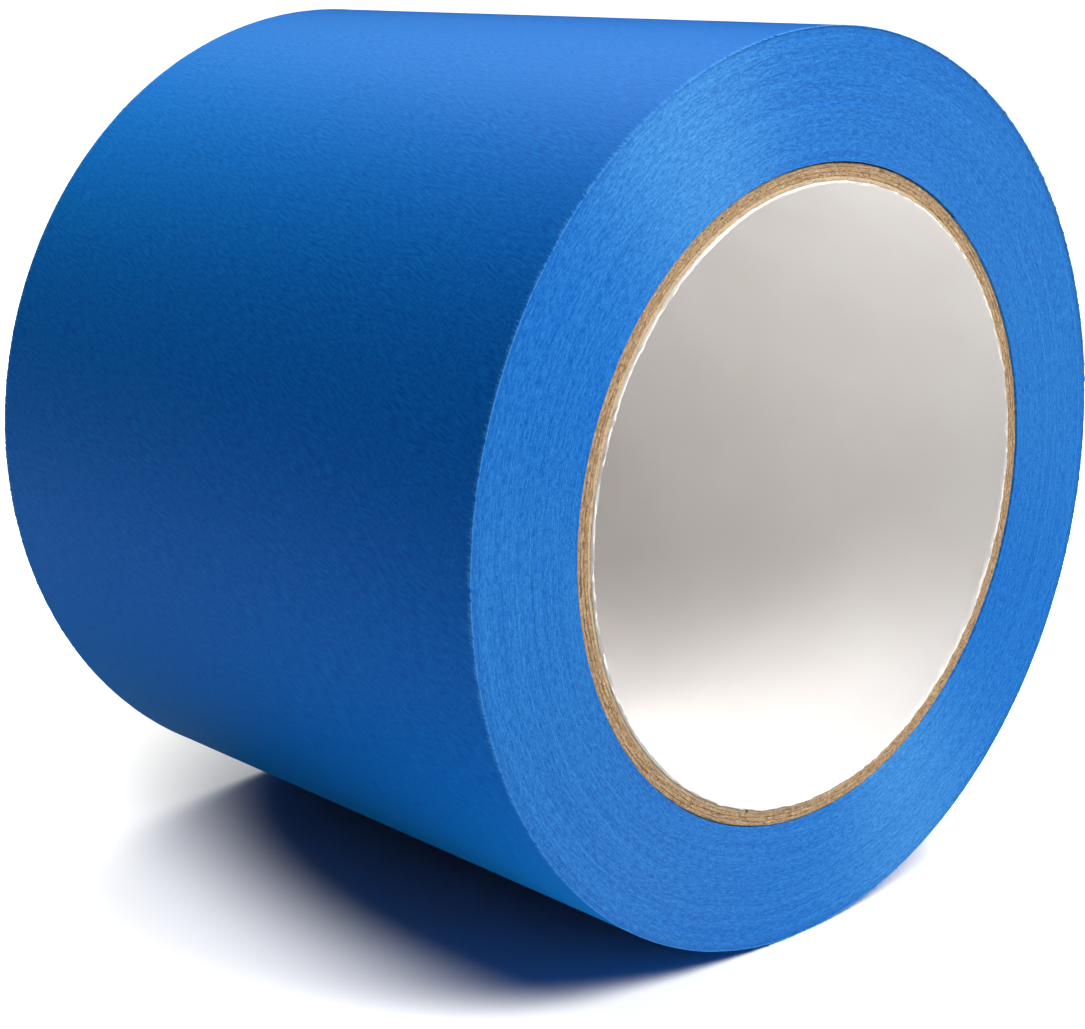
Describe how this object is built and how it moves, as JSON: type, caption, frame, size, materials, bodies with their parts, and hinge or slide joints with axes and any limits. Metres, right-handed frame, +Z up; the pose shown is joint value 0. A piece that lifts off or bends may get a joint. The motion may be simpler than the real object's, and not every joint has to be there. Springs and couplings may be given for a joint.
{
  "type": "masking tape roll",
  "caption": "Wide blue crepe-paper masking tape wound on a spiral paperboard core with a white liner, its free end ready to peel.",
  "frame": {"origin": "on the roll's axis, at the middle of the tape's width", "axes": "+Y along the roll's axis, away from the front end face; +Z up, with the roll lying on its curved side; +X to the right, on the side where the free end lies"},
  "size_m": [0.1121, 0.094, 0.1122],
  "materials": {
    "blue_crepe_paper": "matte",
    "brown_board": "matte",
    "white_liner": "satin"
  },
  "bodies": {
    "roll": {"wound_tape": "blue_crepe_paper", "core_liner": "white_liner", "core_ply_inner": "brown_board", "core_ply_second": "brown_board", "core_ply_third": "brown_board", "core_ply_outer": "brown_board"},
    "free_end_root": {"tape_end_root": "blue_crepe_paper"},
    "free_end_middle": {"tape_end_middle": "blue_crepe_paper"},
    "free_end_tip": {"tape_end_tip": "blue_crepe_paper"}
  },
  "joints": [
    {"name": "peel_root", "type": "hinge", "parent": "roll", "child": "free_end_root", "pos_m": [0.03421, 0, 0.04459], "axis": [0, -1, 0], "range_deg": [0, 50]},
    {"name": "peel_middle", "type": "hinge", "parent": "free_end_root", "child": "free_end_middle", "pos_m": [0.04459, 0, 0.03422], "axis": [0, -1, 0], "range_deg": [0, 50]},
    {"name": "peel_tip", "type": "hinge", "parent": "free_end_middle", "child": "free_end_tip", "pos_m": [0.05193, 0, 0.02151], "axis": [0, -1, 0], "range_deg": [0, 50]}
  ],
  "couplings": [
    {"joint": "peel_middle", "follows": "peel_root", "ratio": 1},
    {"joint": "peel_tip", "follows": "peel_root", "ratio": 1}
  ]
}
